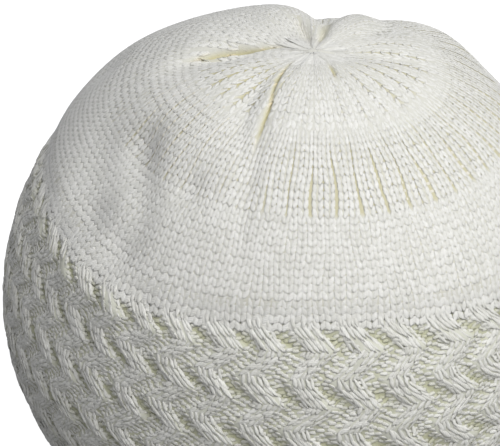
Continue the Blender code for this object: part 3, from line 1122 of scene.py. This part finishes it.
def hollow_arcs(shape, material, column, name):
    """The purl side between the ridges: on each sunk wale, small arcs stacked like bricks."""
    chance = np.random.default_rng(SEED + column)
    arcs = 2 * ARCS_PER_SLANT * CHEVRON_TURNS
    sets, shades = [], []
    for arc in range(arcs):
        row = between(EDGE_LATITUDE - ARCS_UNDER_EDGE, LAST_TURN - ARCS_PAST_TURN, arc / arcs)
        row = row + chance.normal(0.0, ARC_STRAY, CHEVRONS)
        line = FIRST_COLUMN + 2.0 * COLUMN_STEP * column + COLUMN_STEP * (arc % 2)
        line = line + chance.normal(0.0, ARC_SWAY, CHEVRONS)
        middle = CHEVRON_START + (np.arange(CHEVRONS) * CHEVRON_WALES + line + sway(row)) * WALE
        shade = shaded(middle, row)
        shown = chance.uniform(0.0, 1.0, CHEVRONS) > ARC_LOSS * shade
        middle, row, shade = middle[shown], row[shown], shade[shown]
        sink = ARC_SINK * shade + chance.normal(0.0, ARC_LIFT, len(row))
        tilt = chance.normal(0.0, ARC_TILT, len(row))
        sets.append(bars(band_point, middle, row, ARC_HALF * WALE, sink, tilt))
        shades.append(shade)
    return lay_yarn(name, shape, ends_joined(*sets), ARC_WIDTH, ARC_DEPTH, material,
                    ARC_SHADE * np.concatenate(shades))


# Cast-on chain: its height over the rim's plane in degrees, and the two legs of each of its loops
# as degrees higher, millimetres inwards and slant outwards
CHAIN_RISE = 0.55
CHAIN_LEGS = table("rise inset slant", (0.56, 1.6, -0.2), (0.0, 0.5, 0.2))
CHAIN_START = -0.55  # a leg's ends, in wales from its middle
CHAIN_END = 0.62
CHAIN_TILT = 0.25  # degrees that its end lies higher
CHAIN_WIDTH = 0.62
CHAIN_DEPTH = 0.58


def rim_chain(shape, material):
    """The cast-on edge, a chain of small slanted loops round the rim."""
    middle = np.arange(WALES) * WALE
    rim = rim_latitude(RIM_RADIUS) + CHAIN_RISE
    sets = []
    for leg in CHAIN_LEGS:
        low = np.full(WALES, rim + leg["rise"])
        radius = RIM_RADIUS - leg["inset"]
        start = place(azimuth_of(middle + CHAIN_START * WALE, rim), low, radius)
        finish = place(azimuth_of(middle + CHAIN_END * WALE, rim), low + CHAIN_TILT,
                       radius + leg["slant"])
        sets.append((start, finish, unit(start)))
    return lay_yarn("rim_chain", shape, ends_joined(*sets), CHAIN_WIDTH, CHAIN_DEPTH, material)


# Studio

def lay_floor():
    bm = bmesh.new()
    bmesh.ops.create_grid(bm, x_segments=1, y_segments=1, size=6.0)
    floor = new_object("floor", mesh_of("floor", bm))
    floor.data.materials.append(studio_paper())


def hang_light(name, azimuth, rise, distance, size, power):
    light = bpy.data.lights.new(name, "AREA")
    light.shape = "DISK"
    light.size = size
    light.energy = power
    lamp = new_object(name, light)
    back = Vector(place(azimuth, rise, 1.0))
    lamp.location = HEAD_MIDDLE + back * distance
    lamp.rotation_mode = "QUATERNION"
    lamp.rotation_quaternion = back.to_track_quat("Z", "Y")


def light_room(colour, strength):
    world = bpy.data.worlds.new("room")
    world.use_nodes = True
    set_node(world.node_tree.nodes["Background"], {"Color": linear(colour), "Strength": strength})
    bpy.context.scene.world = world


def set_camera():
    """The camera, turned so that the ball lies where the photograph has it."""
    reach = BALL_PIXELS * math.sqrt(CAMERA_DISTANCE ** 2 - BALL ** 2) / BALL
    back = Vector((0.0, -math.cos(CAMERA_RISE), math.sin(CAMERA_RISE)))
    aim = back.to_track_quat("Z", "Y").to_matrix()
    roll = Matrix.Rotation(CAMERA_ROLL, 3, "Z")
    across = math.atan((BALL_PIXEL_X - PHOTO_WIDTH / 2.0) / reach)
    down = math.atan((BALL_PIXEL_Y - PHOTO_HEIGHT / 2.0) * math.cos(across) / reach)
    turn = Matrix.Rotation(across, 3, "Y") @ Matrix.Rotation(down, 3, "X")
    camera = bpy.data.cameras.new("camera")
    camera.sensor_width = SENSOR
    camera.lens = reach / PHOTO_WIDTH * SENSOR
    camera.clip_end = 10.0
    holder = new_object("camera", camera)
    holder.matrix_world = (aim @ roll @ turn).to_4x4()
    holder.location = HEAD_MIDDLE + back * CAMERA_DISTANCE * MM
    bpy.context.scene.camera = holder


def main():
    set_camera()
    lay_floor()
    light_room(colour="F4F6FF", strength=0.32)
    hang_light("window", azimuth=44.0, rise=58.0, distance=1.2, size=1.5, power=14.8)
    bpy.context.scene.view_settings.view_transform = "Standard"

    # yarn colours: light and dark tones at random, then the warm colour of painted shade in creases
    crown_yarn = cotton_yarn("white_cotton_yarn", "F3F2EC", "DBDAD1", "E9D9A6")
    # the band's yarn: a darker low tone that paints some of the band's shade, and olive painted shade
    # for the hollows
    band_yarn = cotton_yarn("white_cotton_yarn_band_painted_shade", "F4F3EC", "D6D5CB", "C4C49F")
    # the cloth behind the yarn is painted greyer than the yarn, as shade in the gaps, and olive as
    # deeper shade
    crown_cloth(inner_plies("inner_plies_crown", "DCDBD1", "C8BF86"))
    band_cloth(inner_plies("inner_plies_band", "DADACB", "BDBD97"))
    leg = yarn_shape("leg", LEG)
    strand = yarn_shape("strand", STRAND)
    arc = yarn_shape("arc", ARC, sideways=0.8)
    plain_stitches(leg, crown_yarn)
    rib_stitches(leg, crown_yarn)
    ladder_bars(arc, crown_yarn)
    top_stitches(leg, crown_yarn)
    gather_strands(strand, crown_yarn)
    ridge_strands(leg, band_yarn, 1, "ridges_down_right")
    ridge_strands(leg, band_yarn, -1, "ridges_down_left")
    hollow_arcs(arc, band_yarn, 0, "hollow_arcs_left")
    hollow_arcs(arc, band_yarn, 1, "hollow_arcs_right")
    rim_chain(leg, band_yarn)
    for shape in (leg, strand, arc):
        bpy.data.objects.remove(shape)


main()
